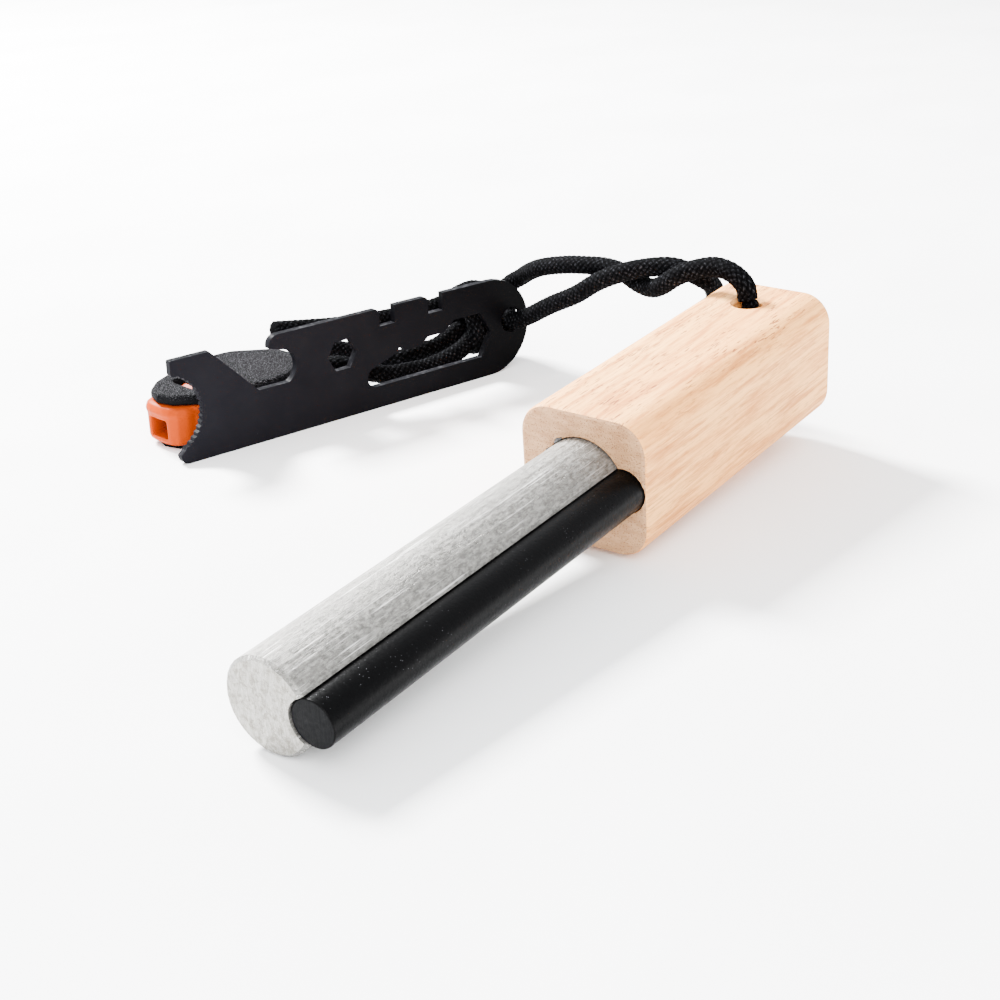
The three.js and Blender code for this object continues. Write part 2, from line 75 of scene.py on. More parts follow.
# Cord
CORD_RADIUS = 0.002
SQUEEZED_RADIUS = 0.00165
CORD_SIDES = 60
RING_STEP = 0.00018
SPLINE_STEPS = 60
# A route that starts steeper than this takes its first side direction from X, not from Z.
STEEP = 0.9
# Each cut end closes by rings: their size as a share, and their reach in cord radii.
CAP_RINGS = ((0.93, 0.12), (0.7, 0.2), (0.3, 0.23))
CAP_UV = 0.5

# Braid: a plait is highest halfway over its neighbours, and PLAIT_DIP of that where it dives.
PLAITS = 10
PLAIT_LENGTH = 0.0014
PLAIT_DEPTH = 0.0002
PLAIT_DIP = 0.45
# The cord's radius lies at this height of a plait.
PLAIT_AT_RADIUS = 0.85

# Strands from the handle, in the floor frame
TOP_STRAND = [
    (-0.1377, -0.0004, 0.0308), (-0.1378, -0.0011, 0.0332), (-0.1383, -0.0039, 0.0351),
    (-0.139, -0.0082, 0.0357), (-0.1392, -0.0126, 0.0346), (-0.1391, -0.017, 0.0325),
    (-0.1406, -0.0212, 0.0296), (-0.143, -0.0251, 0.0278), (-0.1454, -0.0296, 0.0275),
    (-0.1471, -0.0345, 0.0286), (-0.1481, -0.0392, 0.0289), (-0.1487, -0.0443, 0.0284),
    (-0.1495, -0.05, 0.0275), (-0.1518, -0.0582, 0.0252), (-0.1556, -0.0646, 0.0222),
    (-0.1579, -0.0684, 0.0199), (-0.1578, -0.0711, 0.0182), (-0.157, -0.0728, 0.0164),
]
UNDER_STRAND = [
    (-0.1412, -0.0037, 0.00205), (-0.1447, -0.0078, 0.00205), (-0.1486, -0.0118, 0.0024),
    (-0.1518, -0.0147, 0.0046), (-0.1539, -0.0162, 0.0087), (-0.1546, -0.0166, 0.014),
    (-0.1544, -0.0163, 0.0197), (-0.1527, -0.0155, 0.0249), (-0.1496, -0.0148, 0.0284),
    (-0.1456, -0.015, 0.0308), (-0.1438, -0.0172, 0.0323), (-0.1435, -0.0207, 0.0328),
    (-0.143, -0.0251, 0.0322), (-0.1425, -0.0302, 0.0308), (-0.1427, -0.0354, 0.0286),
    (-0.1437, -0.0396, 0.0263), (-0.1451, -0.0449, 0.0228), (-0.1472, -0.0531, 0.0185),
    (-0.1496, -0.0607, 0.0141), (-0.1511, -0.0649, 0.0121), (-0.1517, -0.067, 0.0118),
]
# Tail and loop, in the plate frame
TAIL = [
    (0.079, 0.0078, 0.0181), (0.075, 0.0062, 0.018), (0.071, 0.005, 0.0176),
    (0.0644, 0.0042, 0.0175), (0.0575, 0.0041, 0.0178), (0.0495, 0.0041, 0.0183),
    (0.0414, 0.0041, 0.0191), (0.0345, 0.0042, 0.0201), (0.027, 0.0043, 0.0213),
]
WHISTLE_LOOP = [
    (0.0767, 0.0056, 0.0058), (0.0722, 0.005, 0.0048), (0.0667, 0.0047, 0.0041),
    (0.061, 0.0047, 0.0044), (0.0552, 0.0049, 0.0049), (0.0503, 0.0064, 0.0063),
    (0.0466, 0.0096, 0.0079), (0.0442, 0.0131, 0.0074), (0.0431, 0.0168, 0.0062),
    (0.0439, 0.0203, 0.0062), (0.047, 0.024, 0.0071), (0.0515, 0.0256, 0.007),
    (0.0566, 0.0236, 0.0056), (0.0603, 0.0193, 0.0045), (0.0624, 0.0152, 0.0041),
    (0.0652, 0.0118, 0.0049), (0.0694, 0.0102, 0.0059), (0.0726, 0.01, 0.0062),
    (0.0755, 0.01, 0.0071),
]
# Each stretch runs on into the knot by these points, in the plate frame.
TOP_INTO_KNOT = [(0.0893, 0.0082, 0.0135), (0.0862, 0.0088, 0.0118)]
UNDER_INTO_KNOT = [(0.0874, 0.006, 0.011), (0.0848, 0.0078, 0.0101)]
TAIL_OUT_OF_KNOT = [
    (0.0868, 0.0092, 0.0138), (0.0858, 0.0095, 0.0165), (0.083, 0.009, 0.0178),
]
LOOP_OUT_OF_KNOT = [(0.0835, 0.0082, 0.009), (0.0802, 0.0066, 0.0076)]
LOOP_INTO_KNOT = [(0.079, 0.0094, 0.0089), (0.083, 0.0089, 0.0101)]
# The cord hole lies this far behind the floor frame's start. From the top of its CAD node the
# stretch in the handle runs by points that are so far behind and beside the hole, and so high.
CORD_HOLE_BEHIND = 0.1381
IN_HANDLE = [
    (0, 0, 0.022), (0, 0, 0.014), (0, 0, 0.0085), (0.0006, 0.0006, 0.0048),
    (0.0024, 0.0028, 0.0025),
]

# Knot, in the plate frame: its wraps, their height against their width, and how far and in how
# many steps their ends are tucked in
KNOT_AT = (0.0853, 0.0085, 0.0099)
KNOT_RADIUS = 0.0047
KNOT_PITCH = 0.0039
KNOT_TURNS = 3.1
KNOT_START = 0.15
KNOT_STEPS_A_TURN = 12
KNOT_TALL = 1.08
KNOT_LEAN = 0.22
KNOT_TUCK_STEPS = 4
KNOT_TUCK_INWARDS = 0.62
KNOT_TUCK_BACK = 0.12


def camera():
    data = bpy.data.cameras.new("camera")
    data.lens = LENS
    data.sensor_width = SENSOR_WIDTH
    data.clip_start = CLIP_START
    data.clip_end = CLIP_END
    made = bpy.data.objects.new("camera", data)
    bpy.context.scene.collection.objects.link(made)
    back = CAMERA_RIGHT.cross(CAMERA_UP)
    axes = Matrix((CAMERA_RIGHT, CAMERA_UP, back)).transposed()
    made.matrix_world = Matrix.Translation(CAMERA_AT) @ axes.to_4x4()
    bpy.context.scene.camera = made


camera()


def mesh_object(name, verts, faces, smooth=True):
    mesh = bpy.data.meshes.new(name)
    mesh.from_pydata(verts, [], faces)
    mesh.polygons.foreach_set("use_smooth", [smooth] * len(mesh.polygons))
    mesh.update()
    made = bpy.data.objects.new(name, mesh)
    bpy.context.scene.collection.objects.link(made)
    return made


def on_floor(points):
    return [FLOOR + Vector(p) for p in points]


def on_plate(points):
    return [PLATE @ Vector(p) for p in points]


def smooth_route(points, step):
    """A centripetal spline through the points, cut into equal steps, and its length."""
    pts = [np.array(p, float) for p in points]
    pts = [2 * pts[0] - pts[1], *pts, 2 * pts[-1] - pts[-2]]
    fine = []
    for p0, p1, p2, p3 in zip(pts, pts[1:], pts[2:], pts[3:]):
        d0, d1, d2 = (np.linalg.norm(b - a) ** 0.5 for a, b in ((p0, p1), (p1, p2), (p2, p3)))
        m1 = ((p1 - p0) / d0 - (p2 - p0) / (d0 + d1) + (p2 - p1) / d1) * d1
        m2 = ((p2 - p1) / d1 - (p3 - p1) / (d1 + d2) + (p3 - p2) / d2) * d1
        for t in np.linspace(0, 1, SPLINE_STEPS, endpoint=False):
            fine.append(
                (2 * t**3 - 3 * t**2 + 1) * p1 + (t**3 - 2 * t**2 + t) * m1
                + (3 * t**2 - 2 * t**3) * p2 + (t**3 - t**2) * m2
            )
    fine.append(pts[-2])
    fine = np.array(fine)
    along = np.concatenate(([0], np.cumsum(np.linalg.norm(np.diff(fine, axis=0), axis=1))))
    wanted = np.linspace(0, along[-1], round(along[-1] / step) + 1)
    route = np.stack([np.interp(wanted, along, fine[:, i]) for i in range(3)], axis=1)
    return route, float(along[-1])


def carried_frames(route):
    """A side and an up direction at each point, carried along the route without twist."""
    ahead = np.gradient(route, axis=0)
    ahead /= np.linalg.norm(ahead, axis=1)[:, None]
    side = np.cross(ahead[0], (0, 0, 1) if abs(ahead[0][2]) < STEEP else (1, 0, 0))
    sides = []
    for a in ahead:
        side = side - a * (side @ a)
        side = side / np.linalg.norm(side)
        sides.append(side)
    sides = np.array(sides)
    return ahead, sides, np.cross(ahead, sides)


def plait_height(around, along):
    """How high the braid's surface stands, 0 to 1, with one plait over the other in turn."""
    a = PLAITS * around + along / PLAIT_LENGTH
    b = PLAITS * around - along / PLAIT_LENGTH
    over = (np.floor(a) + np.floor(b)) % 2 < 1
    across = np.where(over, a, b) % 1
    length = np.where(over, b, a) % 1
    bow = 1 - (2 * across - 1) ** 2
    return bow * (PLAIT_DIP + (1 - PLAIT_DIP) * np.sin(np.pi * length))


def braided_tube(name, points, radius=CORD_RADIUS, phase=0.0):
    """A braided cord along the points, with the braid in its surface and flat cut ends."""
    route, length = smooth_route(points, RING_STEP)
    ahead, sides, ups = carried_frames(route)
    rings, n = len(route), CORD_SIDES
    along = np.linspace(0, length, rings)
    around = np.arange(n) / n
    s, u = np.meshgrid(along, around, indexing="ij")
    r = radius + PLAIT_DEPTH * (plait_height(u, s + phase) - PLAIT_AT_RADIUS)
    angle = 2 * np.pi * u
    place = (
        route[:, None, :]
        + (r * np.cos(angle))[..., None] * sides[:, None, :]
        + (r * np.sin(angle))[..., None] * ups[:, None, :]
    )
    caps = []
    for end, sign in ((0, -1), (rings - 1, 1)):
        for share, out in CAP_RINGS:
            ring = route[end] + (place[end] - route[end]) * share
            caps.append(ring + ahead[end] * sign * out * radius)
    verts = np.concatenate([place.reshape(-1, 3), *caps])
    faces, uvs = [], []

    def strip(lower, upper, v0, v1, flip=False):
        for i in range(n):
            j = (i + 1) % n
            face = [lower + i, lower + j, upper + j, upper + i]
            uv = [(i / n, v0), ((i + 1) / n, v0), ((i + 1) / n, v1), (i / n, v1)]
            faces.append(face[::-1] if flip else face)
            uvs.extend(uv[::-1] if flip else uv)

    for k in range(rings - 1):
        strip(k * n, (k + 1) * n, along[k] + phase, along[k + 1] + phase)
    first_cap = rings * n
    second_cap = first_cap + len(CAP_RINGS) * n
    for end, cap, flip in ((0, first_cap, True), ((rings - 1) * n, second_cap, False)):
        chain = [end] + [cap + i * n for i in range(len(CAP_RINGS))]
        for lower, upper in zip(chain, chain[1:]):
            strip(lower, upper, CAP_UV, CAP_UV, flip)
        last = list(range(chain[-1], chain[-1] + n))
        faces.append(last[::-1] if flip else last)
        uvs.extend([(CAP_UV, CAP_UV)] * n)
    made = mesh_object(name, verts.tolist(), faces)
    layer = made.data.uv_layers.new(name="braid")
    layer.data.foreach_set("uv", np.array(uvs, np.float32).ravel())
    return made, route, length


def knot_points():
    """Wraps round the strands that run into the knot, with both ends tucked inwards."""
    centre = Vector(KNOT_AT)
    points = []
    steps = round(KNOT_TURNS * KNOT_STEPS_A_TURN)
    for i in range(-KNOT_TUCK_STEPS, steps + KNOT_TUCK_STEPS + 1):
        turn = 2 * math.pi * (i / KNOT_STEPS_A_TURN + KNOT_START)
        tucked = max(-i, i - steps, 0) / KNOT_TUCK_STEPS
        r = KNOT_RADIUS * (1 - KNOT_TUCK_INWARDS * tucked)
        turns_along = min(max(i, 0), steps) / KNOT_STEPS_A_TURN - KNOT_TURNS / 2
        x = KNOT_PITCH * turns_along * (1 - KNOT_TUCK_BACK * tucked)
        y = r * math.cos(turn)
        lean = KNOT_LEAN * r * math.cos(turn)
        points.append(centre + Vector((x + lean, y, KNOT_TALL * r * math.sin(turn))))
    return on_plate(points)


def free_cord(name, node, points, phase=0.0):
    """A free stretch of the cord, built from the end where its route starts, in the place of
    its hidden CAD node.
    """
    made, route, length = braided_tube(name, points, phase=phase)
    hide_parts(node)
    return made


def cords():
    """The cord's free stretches, the stretch in the handle and the knot."""
    knot, _, _ = braided_tube("knot_wraps", knot_points(), phase=0.0007)
    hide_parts("cord_knot")
    top = free_cord(
        "top_strand", "cord_top_strand", on_floor(TOP_STRAND) + on_plate(TOP_INTO_KNOT),
    )
    under = free_cord(
        "under_strand", "cord_under_strand",
        on_floor(UNDER_STRAND) + on_plate(UNDER_INTO_KNOT), phase=0.0003,
    )
    tail = free_cord(
        "tail", "cord_tail", on_plate(TAIL_OUT_OF_KNOT + TAIL), phase=0.0005,
    )
    loop = free_cord(
        "whistle_loop", "cord_whistle_loop",
        on_plate(LOOP_OUT_OF_KNOT + WHISTLE_LOOP + LOOP_INTO_KNOT),
        phase=0.0011,
    )
    _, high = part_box("cord_in_handle")
    x, y = FLOOR.x - CORD_HOLE_BEHIND, FLOOR.y
    inside = [(x, y, high.z)] + [(x - behind, y - beside, z) for behind, beside, z in IN_HANDLE]
    held, _, _ = braided_tube("strand_in_handle", inside, SQUEEZED_RADIUS, phase=0.0002)
    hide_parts("cord_in_handle")
    made = [knot, top, under, tail, loop, held]
    for piece in made:
        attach(piece, "lanyard")
    return made


# Materials
SOCKETS = {
    "base_color": "Base Color", "metallic": "Metallic", "roughness": "Roughness",
    "normal": "Normal", "specular_ior_level": "Specular IOR Level", "ior": "IOR",
}
RAMP_SOCKETS = ("From Min", "From Max", "To Min", "To Max")


class Nodes:
    """Short ways to add shader nodes to one material."""

    def __init__(self, name):
        self.material = bpy.data.materials.new(name)
        self.material.use_nodes = True
        self.tree = self.material.node_tree
        self.shader = self.tree.nodes["Principled BSDF"]

    def add(self, kind, **values):
        node = self.tree.nodes.new(kind)
        for key, value in values.items():
            setattr(node, key, value)
        return node

    def link(self, out, into):
        self.tree.links.new(out, into)

    def feed(self, node, socket, value):
        if isinstance(value, bpy.types.NodeSocket):
            self.link(value, node.inputs[socket])
        else:
            node.inputs[socket].default_value = value

    def place(self, kind="Object"):
        return self.add("ShaderNodeTexCoord").outputs[kind]

    def mapped(self, source, scale=(1, 1, 1), rotation=(0, 0, 0)):
        node = self.add("ShaderNodeMapping")
        self.link(source, node.inputs["Vector"])
        node.inputs["Scale"].default_value = scale
        node.inputs["Rotation"].default_value = rotation
        return node.outputs["Vector"]

    def along_handle(self):
        """The place, with X along the handle's axis."""
        return self.mapped(self.place(), rotation=(0, -HANDLE_TILT, 0))

    def noise(self, source, scale, detail=3, roughness=0.5, rotation=(0, 0, 0)):
        """Noise, with one scale, or with one for each axis and a rotation after that."""
        if isinstance(scale, tuple):
            source, scale = self.mapped(source, scale, rotation), 1
        node = self.add("ShaderNodeTexNoise")
        self.link(source, node.inputs["Vector"])
        node.inputs["Scale"].default_value = scale
        node.inputs["Detail"].default_value = detail
        node.inputs["Roughness"].default_value = roughness
        return node.outputs["Fac"]

    def cells(self, source, scale):
        """The distance from the nearest cell's middle, with a scale for each axis."""
        node = self.add("ShaderNodeTexVoronoi")
        self.link(self.mapped(source, scale), node.inputs["Vector"])
        node.inputs["Scale"].default_value = 1
        return node.outputs["Distance"]

    def ramp(self, value, low, high, bottom=0.0, top=1.0):
        node = self.add("ShaderNodeMapRange")
        self.link(value, node.inputs["Value"])
        for socket, number in zip(RAMP_SOCKETS, (low, high, bottom, top)):
            node.inputs[socket].default_value = number
        return node.outputs["Result"]

    def math(self, operation, a, b=0.0, c=0.0):
        node = self.add("ShaderNodeMath", operation=operation)
        for i, value in enumerate((a, b, c)):
            self.feed(node, i, value)
        return node.outputs[0]

    def mix(self, share, a, b):
        node = self.add("ShaderNodeMix", data_type="RGBA")
        self.feed(node, 0, share)
        self.feed(node, 6, a if isinstance(a, bpy.types.NodeSocket) else (*a, 1))
        self.feed(node, 7, b if isinstance(b, bpy.types.NodeSocket) else (*b, 1))
        return node.outputs[2]

    def bump(self, height, strength, distance, before=None):
        node = self.add("ShaderNodeBump")
        self.link(height, node.inputs["Height"])
        node.inputs["Strength"].default_value = strength
        node.inputs["Distance"].default_value = distance
        if before is not None:
            self.link(before, node.inputs["Normal"])
        return node.outputs["Normal"]

    def reach(self, source, direction):
        """How far the source vector reaches in this direction."""
        dot = self.add("ShaderNodeVectorMath", operation="DOT_PRODUCT")
        self.link(source, dot.inputs[0])
        dot.inputs[1].default_value = direction
        return dot.outputs["Value"]

    def facing(self, direction, low, high):
        """1 where the surface faces this direction of the row frame at rest, else 0."""
        return self.ramp(self.reach(self.place("Normal"), direction), low, high)

    def facing_either(self, direction, low, high):
        """1 where the surface faces this direction or the opposite one, else 0."""
        opposite = tuple(-c for c in direction)
        front, back = self.facing(direction, low, high), self.facing(opposite, low, high)
        return self.math("MAXIMUM", front, back)

    def finish(self, **sockets):
        for name, value in sockets.items():
            self.feed(self.shader, SOCKETS[name], value)
        return self.material


def beech():
    """Flecks, most on the top and underside, fine lines, most on the sides, and end grain."""
    pale_dark, pale_light = (0.80, 0.345, 0.085), (0.95, 0.48, 0.150)
    streak_colour, line_colour = (0.50, 0.165, 0.030), (0.42, 0.135, 0.025)
    fleck_colour = (0.20, 0.050, 0.010)
    end_dark, end_light = (0.34, 0.170, 0.075), (0.46, 0.255, 0.122)
    pore_colour = (0.12, 0.048, 0.018)

    n = Nodes("beech")
    held = n.along_handle()
    bands = n.noise(held, (14, 150, 150), 3)
    streaks = n.noise(held, (60, 800, 800), 5, 0.7)
    dashes = n.noise(held, (380, 2900, 2900), 2, 0.5)
    fine = n.noise(held, (45, 2600, 2600), 3, 0.6)
    on_side = n.facing_either((0, 1, 0), 0.6, 0.95)
    dash_patch = n.ramp(n.noise(held, (60, 300, 300), 2), 0.36, 0.54)
    fleck = n.math("MULTIPLY", n.ramp(dashes, 0.57, 0.66), dash_patch)
    fleck = n.math("MULTIPLY", fleck, n.math("MULTIPLY_ADD", on_side, -0.7, 1.0))
    grain = n.mix(n.ramp(bands, 0.3, 0.7), pale_dark, pale_light)
    grain = n.mix(n.ramp(streaks, 0.44, 0.62, 0, 0.85), grain, streak_colour)
    line_share = n.math("MULTIPLY_ADD", on_side, 0.35, 0.15)
    line = n.math("MULTIPLY", n.ramp(fine, 0.52, 0.66), line_share)
    grain = n.mix(line, grain, line_colour)
    grain = n.mix(n.math("MULTIPLY", fleck, 0.9), grain, fleck_colour)

    pores = n.cells(held, (700, 2600, 2600))
    rings = n.noise(held, (4, 300, 900), 3)
    end = n.mix(n.ramp(rings, 0.35, 0.65), end_dark, end_light)
    end = n.mix(n.ramp(pores, 0.14, 0.36, 0.85, 0), end, pore_colour)
    on_end = n.facing_either(HANDLE_AXIS, 0.75, 0.9)

    height = n.math("ADD", n.math("MULTIPLY", streaks, 0.6), n.math("MULTIPLY", fleck, -0.5))
    normal = n.bump(height, 0.35, 0.0002)
    normal = n.bump(n.math("MULTIPLY", pores, on_end), 0.5, 0.0002, normal)
    return n.finish(
        base_color=n.mix(on_end, grain, end), roughness=n.ramp(streaks, 0.3, 0.7, 0.6, 0.75),
        normal=normal, specular_ior_level=0.3,
    )


def magnesium():
    """Cast grey metal with lengthwise scores and pits, and a sawn face at its tip."""
    cast_dark, cast_light = (0.095, 0.092, 0.083), (0.24, 0.234, 0.216)
    streak_colour, score_colour = (0.13, 0.125, 0.113), (0.66, 0.65, 0.63)
    pit_colour = (0.06, 0.056, 0.05)
    face_dark, face_light = (0.22, 0.212, 0.192), (0.37, 0.360, 0.330)
    blotch_colour = (0.11, 0.097, 0.075)

    n = Nodes("magnesium")
    held = n.along_handle()
    lines = n.noise(held, (28, 2600, 2600), 4, 0.7)
    scores = n.noise(held, (60, 3400, 3400), 3, 0.6, rotation=(0, 0, 0.02))
    cast = n.noise(held, (800, 1500, 1500), 7, 0.78)
    cloud = n.noise(held, (70, 190, 190), 3)
    pits = n.cells(held, (900, 1500, 1500))
    pit = n.math("MULTIPLY", n.ramp(pits, 0.08, 0.2, 1, 0), n.ramp(cloud, 0.45, 0.6))
    colour = n.mix(n.ramp(cast, 0.42, 0.58), cast_dark, cast_light)
    streak_share = n.ramp(cloud, 0.38, 0.56, 0.15, 0.7)
    streak = n.math("MULTIPLY", n.ramp(lines, 0.5, 0.6), streak_share)
    colour = n.mix(streak, colour, streak_colour)
    score_share = n.ramp(cloud, 0.56, 0.42, 0.1, 0.8)
    score = n.math("MULTIPLY", n.ramp(scores, 0.58, 0.66), score_share)
    colour = n.mix(score, colour, score_colour)
    colour = n.mix(n.math("MULTIPLY", pit, 0.6), colour, pit_colour)

    saw = n.noise(n.place(), (900, 3200, 700), 4, 0.65, rotation=(0.9, 0, 0))
    blotch = n.noise(n.place(), 800, 6, 0.8)
    face = n.mix(n.ramp(saw, 0.35, 0.65), face_dark, face_light)
    face = n.mix(n.ramp(blotch, 0.48, 0.58, 0, 0.7), face, blotch_colour)
    on_end = n.facing(HANDLE_AXIS, 0.75, 0.95)

    raised = n.math("ADD", cast, n.math("MULTIPLY", lines, 0.7))
    return n.finish(
        base_color=n.mix(on_end, colour, face), metallic=0.7,
        roughness=n.ramp(cast, 0.35, 0.65, 0.3, 0.58),
        normal=n.bump(n.math("SUBTRACT", raised, pit), 0.7, 0.00025),
    )


def ferro():
    """Black paint with specks of bare metal, most near the tip, and a filed face there."""
    paint, spark = (0.0004, 0.0004, 0.0005), (0.24, 0.24, 0.26)
    face_dark, face_light = (0.0020, 0.0021, 0.0024), (0.0044, 0.0046, 0.0051)
    tip_from, tip_to = 0.045, 0.078

    n = Nodes("ferro")
    held = n.along_handle()
    speck = n.cells(held, (1700, 1700, 1700))
    patch = n.ramp(n.noise(held, 140, 3), 0.46, 0.62)
    towards_tip = n.ramp(n.reach(n.place(), HANDLE_AXIS), tip_from, tip_to, 0.25, 1.0)
    patch = n.math("MULTIPLY", patch, towards_tip)
    orange_peel = n.noise(held, 1500, 3, 0.6)
    glitter = n.math("MULTIPLY", n.ramp(speck, 0.03, 0.12, 0.9, 0), patch)
    file_marks = n.noise(held, (900, 5200, 300), 2, rotation=(0.5, 0, 0))
    face = n.mix(n.ramp(file_marks, 0.35, 0.7), face_dark, face_light)
    on_end = n.facing(HANDLE_AXIS, 0.8, 0.95)
    paint_roughness = n.ramp(orange_peel, 0.3, 0.7, 0.26, 0.4)
    return n.finish(
        base_color=n.mix(on_end, n.mix(glitter, paint, spark), face),
        roughness=n.math("ADD", n.math("MULTIPLY", on_end, 0.35), paint_roughness),
        normal=n.bump(orange_peel, 0.35, 0.00012), specular_ior_level=0.09, ior=1.3,
    )


def steel():
    """Black coating, greyer towards the hook, with a few scratches; its edges carry rubbed wear
    and, where they face up, a painted highlight.
    """
    grey_end_dark, grey_end_light = (0.0048, 0.0048, 0.0064), (0.0064, 0.0064, 0.0082)
    black_end_dark, black_end_light = (0.0006, 0.0006, 0.0007), (0.0010, 0.0010, 0.0012)
    edge_wear_highlight_dark, edge_wear_highlight_light = (0.006, 0.006, 0.007), (0.030, 0.030, 0.033)
    scratch_colour = (0.06, 0.06, 0.065)
    black_end_at, grey_end_at = -0.07, 0.01

    n = Nodes("coated_steel")
    place = n.place()
    grit = n.noise(place, 5200, 2)
    cloud = n.ramp(n.noise(place, 120, 3), 0.3, 0.7)
    on_edge = n.math("SUBTRACT", 1.0, n.facing_either(PLATE_NORMAL, 0.75, 0.9))
    upward = n.facing((0, 0, 1), 0.3, 0.9)
    # The coat goes from black at the far end to dark grey towards the hook.
    towards_hook = n.ramp(n.reach(place, PLATE_ALONG), black_end_at, grey_end_at)
    grey_end_coat = n.mix(cloud, grey_end_dark, grey_end_light)
    black_end_coat = n.mix(cloud, black_end_dark, black_end_light)
    coat = n.mix(towards_hook, black_end_coat, grey_end_coat)
    rubbed = n.ramp(n.noise(place, 900, 4, 0.6), 0.5, 0.75)
    # Painted highlight with rubbed wear: the plate's edges turn light grey where they face up,
    # and only a little elsewhere.
    edge = n.mix(rubbed, edge_wear_highlight_dark, edge_wear_highlight_light)
    lit_edge_share = n.math("MULTIPLY", on_edge, n.math("MULTIPLY_ADD", upward, 0.95, 0.05))
    colour = n.mix(lit_edge_share, coat, edge)
    scratch = n.noise(place, (5200, 380, 900), 2, rotation=(0, 0.5, 0.3))
    colour = n.mix(n.ramp(scratch, 0.77, 0.8, 0, 0.35), colour, scratch_colour)
    return n.finish(
        base_color=colour, roughness=n.ramp(grit, 0.3, 0.7, 0.36, 0.5),
        normal=n.bump(grit, 0.12, 0.00006), specular_ior_level=0.04, ior=1.2,
    )


def braid():
    """The plaits of plait_height() once more in the shader, with painted shade down between
    them and painted glints on their yarns.
    """
    shaded_gap_colour, plait_colour = (0.0005, 0.0005, 0.0006), (0.0018, 0.0018, 0.0021)
    glint_colour = (0.068, 0.071, 0.080)
    yarns_across, yarn_lengths, bundle_step = 6.0, 1.2, 3.7
    # An even number that keeps the modulo's input positive
    even_offset = 200000.0

    n = Nodes("braided_nylon")
    uv = n.add("ShaderNodeUVMap", uv_map="braid").outputs["UV"]
    split = n.add("ShaderNodeSeparateXYZ")
    n.link(uv, split.inputs[0])
    u, v = split.outputs[0], split.outputs[1]
    around = n.math("MULTIPLY", u, float(PLAITS))
    along = n.math("DIVIDE", v, PLAIT_LENGTH)
    a = n.math("ADD", around, along)
    b = n.math("SUBTRACT", around, along)
    whole = n.math("ADD", n.math("FLOOR", b), even_offset)
    whole = n.math("ADD", n.math("FLOOR", a), whole)
    over = n.math("LESS_THAN", n.math("MODULO", whole, 2.0), 0.5)

    def pick(x, y):
        kept = n.math("MULTIPLY", x, over)
        other = n.math("MULTIPLY", y, n.math("SUBTRACT", 1.0, over))
        return n.math("ADD", kept, other)

    over_plait, under_plait = pick(a, b), pick(b, a)
    across, length = n.math("FRACT", over_plait), n.math("FRACT", under_plait)
    from_middle = n.math("ABSOLUTE", n.math("MULTIPLY_ADD", across, 2.0, -1.0))
    bow = n.math("SUBTRACT", 1.0, n.math("POWER", from_middle, 2.0))
    rise = n.math("SINE", n.math("MULTIPLY", length, math.pi))
    height = n.math("MULTIPLY", bow, n.math("MULTIPLY_ADD", rise, 1 - PLAIT_DIP, PLAIT_DIP))
    combine = n.add("ShaderNodeCombineXYZ")
    n.link(n.math("MULTIPLY", across, yarns_across), combine.inputs[0])
    n.link(n.math("MULTIPLY", length, yarn_lengths), combine.inputs[1])
    bundle = n.math(
        "MULTIPLY_ADD", n.math("FLOOR", under_plait), bundle_step, n.math("FLOOR", over_plait),
    )
    n.link(bundle, combine.inputs[2])
    yarn = n.noise(combine.outputs[0], 1.0, 2, 0.6)
    glint = n.math("MULTIPLY", n.ramp(yarn, 0.54, 0.66), n.ramp(height, 0.35, 0.8))
    # Painted shade: the braid darkens down between its plaits, and painted glints sit on the
    # yarns' tops.
    colour = n.mix(n.ramp(height, 0.15, 0.9), shaded_gap_colour, plait_colour)
    colour = n.mix(n.math("MULTIPLY", glint, 0.3), colour, glint_colour)
    return n.finish(
        base_color=colour, roughness=0.75, normal=n.bump(yarn, 0.5, 0.00012),
        specular_ior_level=0.03, ior=1.2,
    )


def orange():
    deep, light = (0.27, 0.028, 0.0001), (0.33, 0.036, 0.0001)

    n = Nodes("orange_plastic")
    place = n.place()
    mottle = n.noise(place, 260, 3)
    return n.finish(
        base_color=n.mix(n.ramp(mottle, 0.3, 0.7), deep, light),
        roughness=n.ramp(mottle, 0.3, 0.7, 0.34, 0.44),
        normal=n.bump(n.noise(place, 2600, 2), 0.08, 0.00005), specular_ior_level=0.06, ior=1.3,
    )


def shell():
    """Black plastic with a fine grain and sparkle where the surface faces up, lighter there
    than on the steep faces: partly its real grain, partly painted light.
    """
    grain_dark, grain_light = (0.0002, 0.0002, 0.0003), (0.0052, 0.0052, 0.0058)
    sparkle, steep_colour = (0.070, 0.070, 0.075), (0.0035, 0.0035, 0.0040)

    n = Nodes("shell_plastic")
    place = n.place()
    grain = n.noise(place, 2100, 3, 0.75)
    fine = n.noise(place, 4200, 2, 0.7)
    top = n.mix(n.ramp(grain, 0.42, 0.58), grain_dark, grain_light)
    top = n.mix(n.ramp(fine, 0.57, 0.64), top, sparkle)
    height = n.math("ADD", grain, n.math("MULTIPLY", fine, 0.5))
    return n.finish(
        # Painted light: the faces that look up take the grain and its sparkle and come out
        # lighter than the steep faces' flat colour.
        base_color=n.mix(n.facing((0, 0, 1), -0.1, 0.9), steep_colour, top), roughness=0.6,
        normal=n.bump(height, 0.4, 0.00015), specular_ior_level=0.03, ior=1.2,
    )


def glue(name, dark, light):
    n = Nodes(name)
    cloud = n.noise(n.place(), 500, 3)
    return n.finish(
        base_color=n.mix(n.ramp(cloud, 0.3, 0.7), dark, light), roughness=0.3,
        normal=n.bump(cloud, 0.2, 0.0002),
    )


